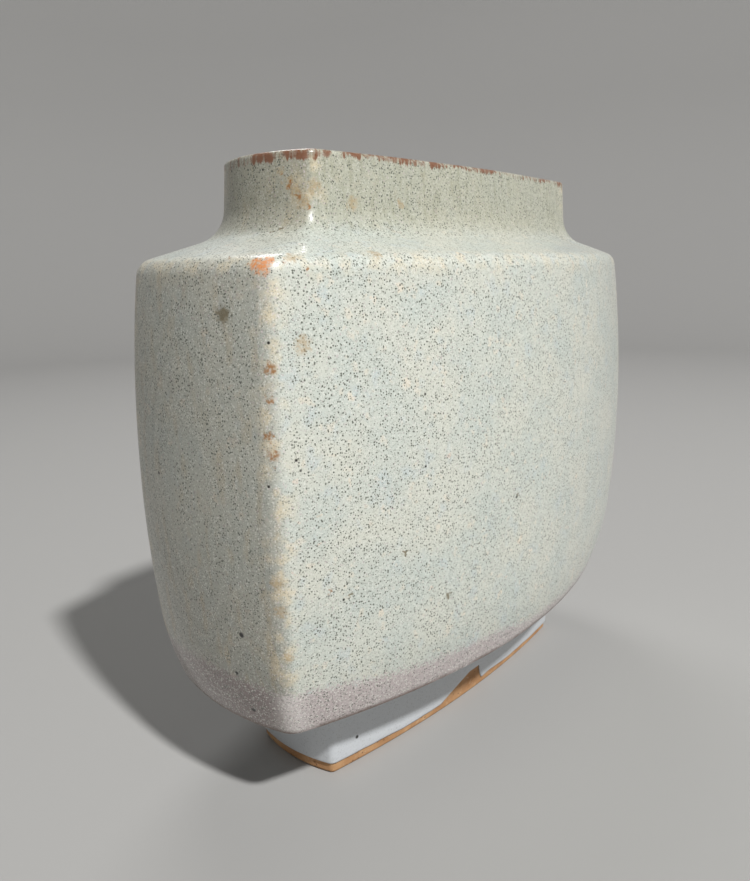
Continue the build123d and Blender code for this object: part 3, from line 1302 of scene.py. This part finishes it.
    def edge_masks(
        self, grid: np.ndarray, stretches: list[Stretch], on_body: np.ndarray
    ) -> dict[str, np.ndarray]:
        """Shares of the upright arrises, the shoulder's edge and the line on the lower edge.

        Args:
            grid: Points of the surface that shows.
            stretches: The stretch that each ring is on.
            on_body: True for each ring above the foot and the underside.

        Returns:
            For each edge a value at each point.
        """
        quarter = FACE_STEPS + ARRIS_STEPS + END_STEPS
        middle = FACE_STEPS + ARRIS_STEPS // 2
        corners = [middle, 2 * quarter - middle, 2 * quarter + middle, 4 * quarter - middle]
        nearest = np.min([np.linalg.norm(grid - grid[:, [corner]], axis=2) for corner in corners], axis=0)
        upright = on_stretches(stretches, Stretch.TUCK, Stretch.BARREL, Stretch.NECK)
        edge_rows = np.flatnonzero(on_stretches(stretches, Stretch.EDGE))
        low_rows = np.flatnonzero(on_stretches(stretches, Stretch.LOW_EDGE))
        from_edge = np.linalg.norm(grid - grid[edge_rows[len(edge_rows) // 2]], axis=2)
        from_line = np.linalg.norm(grid - grid[low_rows[-1]], axis=2)
        return {
            "arris": np.exp(-((nearest / self.arris_width) ** 2)) * upright,
            "edge": np.exp(-((from_edge / self.edge_width) ** 2)),
            "line": np.exp(-((from_line / self.line_width) ** 2)) * on_body,
        }

    def band_masks(self, grid: np.ndarray, on_body: np.ndarray) -> dict[str, np.ndarray]:
        """Shares of the neck, the rim, the low band, the foot, the unseen sides and the ends' painted shade.

        Args:
            grid: Points of the surface that shows.
            on_body: True for each ring above the foot and the underside.

        Returns:
            For each band a value at each point.
        """
        sizes, fade = self.sizes, self.neck_fade
        x, y, z = grid[..., 0], grid[..., 1], grid[..., 2]
        flat = grid * (1, 1, 0)
        neck_foot = sizes.height - sizes.shoulder_drop + sizes.shoulder_rise
        neck_corner = sizes.neck_length / 2 - sizes.neck_end_bow
        on_end = smooth_step(-fade, fade, np.abs(x) - (neck_corner - fade))
        rim_foot = sizes.height - self.rim_band - self.rim_end_band * on_end
        rim_foot += self.rim_band / 2 * wander(flat, self.rim_wave)
        band_top = self.band_height + self.band_slope * x
        band_top = band_top + self.band_wave * wander(flat, self.band_wave_length)
        band_top = np.maximum(band_top, sizes.foot_height + self.band_least)
        # Painted shade on the ends: share of the end colour, set by the normal and greater towards the
        # bottom
        end = smooth_step(*self.end_turn, np.abs(grid_normals(grid)[..., 0]))
        return {
            "neck": smooth_step(neck_foot - fade, neck_foot + fade, z),
            "rim": smooth_step(-self.rim_band, self.rim_band, z - rim_foot),
            "low": smooth_step(self.band_fade, -self.band_fade, z - band_top) * on_body,
            "foot": np.broadcast_to(~on_body, z.shape).astype(float),
            "far": np.maximum(y > 0, x > sizes.neck_length / 2).astype(float),
            "end": end * (self.end_shade_share + (1 - self.end_shade_share) * smooth_step(*self.end_shade_fall, z)),
        }

    def build(self) -> bpy.types.Object:
        """Builds the coat and dresses it.

        Returns:
            The piece.
        """
        grid, stretches = self.outside()
        places = self.mark_places(grid)
        masks = self.masks(grid, stretches)
        shown = grid - grid_normals(grid) * self.hand_relief(grid, places)[..., None]
        shown[0, :, 2] = grid[0, :, 2]
        back = np.array(self.on_clay(grid[0, :, 2]))
        rings = np.concatenate([shown, back])
        faces = ring_faces(len(rings), rings.shape[1], closed=True)
        piece = mesh_object("outer_glaze_coat", rings.reshape(-1, 3), faces)
        rest = np.zeros(back.shape[0] * back.shape[1])
        for name, values in masks.items():
            add_mask(piece, name, np.concatenate([values.reshape(-1), rest]))
        piece.data.materials.append(self.finish.make(places))
        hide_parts("outer_glaze")
        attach(piece, BODY)
        return piece


@dataclass
class LinerGlaze:
    """The coat of glaze that lines the inside, from the mouth down to the floor."""

    sizes: VaseSizes
    finish: GlazeFinish
    hand_depth: float = 0.0003
    cove_radius: float = 0.003
    cove_steps: int = 4
    relief_length: float = 0.03
    smooth_mouth: float = 0.004
    rim_fade: float = 0.006
    rim_share: float = 0.8

    STEPS = dict(zip(UPWARDS, (8, 40, 4, 10, 10, 12, 6)))
    FLOOR_SHARES = (0.93, 0.8, 0.6, 0.4, 0.2, 0.06)

    def surface(self, depth: float, floor: float, cove: float) -> np.ndarray:
        """Rings of one side of the lining, from the middle of the floor up to the mouth.

        Args:
            depth: Depth under the surface of the outer glaze.
            floor: Height of the floor.
            cove: Radius of the hollow between floor and walls.

        Returns:
            The rings' points.
        """
        form = VaseForm(self.sizes)
        rows = Profile(self.sizes, depth, self.STEPS).rows(floor + cove, inside=True)
        walls = [form.body_ring(row, depth) for row in rows]
        low = rows[0]
        bends = []
        for angle in np.linspace(0, math.pi / 2, self.cove_steps + 1)[1:] if cove else (0.0,):
            inset = low.stand_out - cove * (1 - math.cos(angle))
            height = low.height - cove * math.sin(angle)
            bends.append(form.body_ring(Row(Stretch.TUCK, inset, height, 1.0), depth))
        floor_rings = [bends[-1] * (share, share, 1) for share in self.FLOOR_SHARES]
        return np.array([*reversed(floor_rings), *reversed(bends if cove else []), *walls])

    def build(self) -> bpy.types.Object:
        """Builds the lining and dresses it.

        Returns:
            The piece.
        """
        sizes = self.sizes
        shown = self.surface(sizes.liner_depth, sizes.floor_height + sizes.glaze_thickness, self.cove_radius)
        relief = self.hand_depth * (1 + wander(shown, self.relief_length)) / 2
        inward = grid_normals(shown)
        below_mouth = shown[..., 2:] < sizes.height - self.smooth_mouth
        shown = shown + np.where(below_mouth, inward * relief[..., None], 0)
        back = self.surface(sizes.cavity_depth, sizes.floor_height, 0.0)
        rings = np.concatenate([shown, back[::-1]])
        count, around = rings.shape[:2]
        faces = [face[::-1] for face in ring_faces(count, around, closed=False)]
        points = rings.reshape(-1, 3)
        middles = [shown[0].mean(axis=0), back[0].mean(axis=0)]
        last = (count - 1) * around
        for place in range(around):
            after = (place + 1) % around
            faces.append((place, after, len(points)))
            faces.append((last + after, last + place, len(points) + 1))
        piece = mesh_object("liner_glaze_coat", np.vstack([points, middles]), faces)
        rim = smooth_step(-self.rim_fade, 0.0, rings[..., 2] - sizes.height).reshape(-1)
        add_mask(piece, "rim", np.append(self.rim_share * rim, (0, 0)))
        piece.data.materials.append(self.finish.make({}))
        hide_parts("liner_glaze")
        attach(piece, BODY)
        return piece


@dataclass
class ClayBody:
    """The bare clay slabs and strips under the glaze, which stay as the frame has them."""

    finish: ClayFinish
    glaze_nodes: tuple[str, ...] = ("outer_glaze", "liner_glaze")

    def dress(self) -> list[str]:
        """Gives every clay node its finish.

        Returns:
            The nodes' names.
        """
        material = self.finish.make()
        names = []
        for name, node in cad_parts.items():
            node.data.materials.clear()
            node.data.materials.append(material)
            if name not in self.glaze_nodes:
                names.append(name)
        return names


@dataclass
class Studio:
    """Pale round floor that sweeps up all round, soft lights and the camera."""

    floor_finish: FloorFinish
    floor_radius: float = 1.3
    sweep_radius: float = 0.6
    wall_height: float = 1.3
    steps_around: int = 96
    inner_radius: float = 0.3
    sweep_steps: int = 16
    aim: Triple = (0.0, 0.0, 0.1)
    key_way: Triple = (-0.223, -1.0, 1.2)
    key_away: float = 3.0
    key_size: float = 0.2
    key_power: float = 108.0
    fill_way: Triple = (0.6, 1.0, 1.7)
    fill_away: float = 1.6
    fill_size: float = 0.8
    fill_power: float = 7.0
    sky: Colour = (0.012, 0.013, 0.015)
    eye: Triple = (-0.22335, -0.18133, 0.16694)
    forward: Triple = (0.7180, 0.6592, -0.2233)
    up: Triple = (0.1795, 0.1346, 0.9745)
    focal_pixels: float = 752.63
    image_height: float = 881.0
    sensor: float = 36.0
    nearest: float = 0.01

    def floor(self) -> bpy.types.Object:
        """Builds the floor and its sweep.

        Returns:
            The floor.
        """
        centre = np.array([self.floor_radius, self.sweep_radius])
        bend = arc(centre, self.sweep_radius, -math.pi / 2, 0, self.sweep_steps)
        top = np.array([[bend[-1][0], self.sweep_radius + self.wall_height]])
        profile = np.vstack([[[self.inner_radius, 0.0]], bend, top])
        turns = np.linspace(0, 2 * math.pi, self.steps_around, endpoint=False)
        rings = [np.column_stack([r * np.cos(turns), r * np.sin(turns), np.full(len(turns), h)])
                 for r, h in profile]
        points = np.vstack([*rings, [[0.0, 0.0, 0.0]]])
        faces = ring_faces(len(rings), self.steps_around, closed=False)
        hub = len(points) - 1
        faces += [(place, (place + 1) % self.steps_around, hub)[::-1] for place in range(self.steps_around)]
        floor = mesh_object("studio_floor", points, faces)
        floor.data.materials.append(self.floor_finish.make())
        return floor

    def light(self, name: str, way: tuple, away: float, size: float, power: float) -> None:
        """Adds a round soft light that shines on the vase.

        Args:
            name: The light's name.
            way: Direction from the vase to the light.
            away: How far off it stands.
            size: How wide it is.
            power: How strong it is, in watts.
        """
        data = bpy.data.lights.new(name, "AREA")
        data.shape = "DISK"
        data.size = size
        data.energy = power
        lamp = bpy.data.objects.new(name, data)
        towards = Vector(way).normalized()
        lamp.location = Vector(self.aim) + towards * away
        lamp.rotation_mode = "QUATERNION"
        lamp.rotation_quaternion = (-towards).to_track_quat("-Z", "Y")
        lamp.visible_camera = False
        bpy.context.scene.collection.objects.link(lamp)

    def camera(self) -> None:
        """Sets the camera where the photograph was taken from."""
        forward = Vector(self.forward).normalized()
        right = forward.cross(Vector(self.up)).normalized()
        up = right.cross(forward)
        turn = Matrix((right, up, -forward)).transposed().to_4x4()
        data = bpy.data.cameras.new("photo_camera")
        data.sensor_width = self.sensor
        data.lens = self.focal_pixels / self.image_height * self.sensor
        data.clip_start = self.nearest
        camera = bpy.data.objects.new("photo_camera", data)
        camera.matrix_world = Matrix.Translation(Vector(self.eye)) @ turn
        bpy.context.scene.collection.objects.link(camera)
        bpy.context.scene.camera = camera

    def build(self) -> bpy.types.Object:
        """Builds the floor, the lights and the camera.

        Returns:
            The floor.
        """
        floor = self.floor()
        self.light("key_light", self.key_way, self.key_away, self.key_size, self.key_power)
        self.light("fill_light", self.fill_way, self.fill_away, self.fill_size, self.fill_power)
        world = bpy.data.worlds.new("studio_air")
        world.use_nodes = True
        world.node_tree.nodes["Background"].inputs["Color"].default_value = (*self.sky, 1.0)
        bpy.context.scene.world = world
        bpy.context.scene.view_settings.view_transform = "Standard"
        self.camera()
        return floor


def main() -> None:
    """Builds the vase's coats, dresses its clay, and sets the studio."""
    logging.basicConfig(level=logging.INFO, format="%(name)s: %(message)s")
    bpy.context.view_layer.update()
    sizes = VaseSizes()
    for name in ClayBody(ClayFinish()).dress():
        log.info("%s: bare clay", name)
    outer = OuterGlaze(sizes, GlazeFinish("speckled_glaze")).build()
    log.info("%s: %d faces", outer.name, len(outer.data.polygons))
    liner = LinerGlaze(sizes, GlazeFinish("liner_glaze", roughness=0.36)).build()
    log.info("%s: %d faces", liner.name, len(liner.data.polygons))
    floor = Studio(FloorFinish()).build()
    log.info("%s: stage", floor.name)
    bpy.context.view_layer.update()


if __name__ == "__main__":
    main()
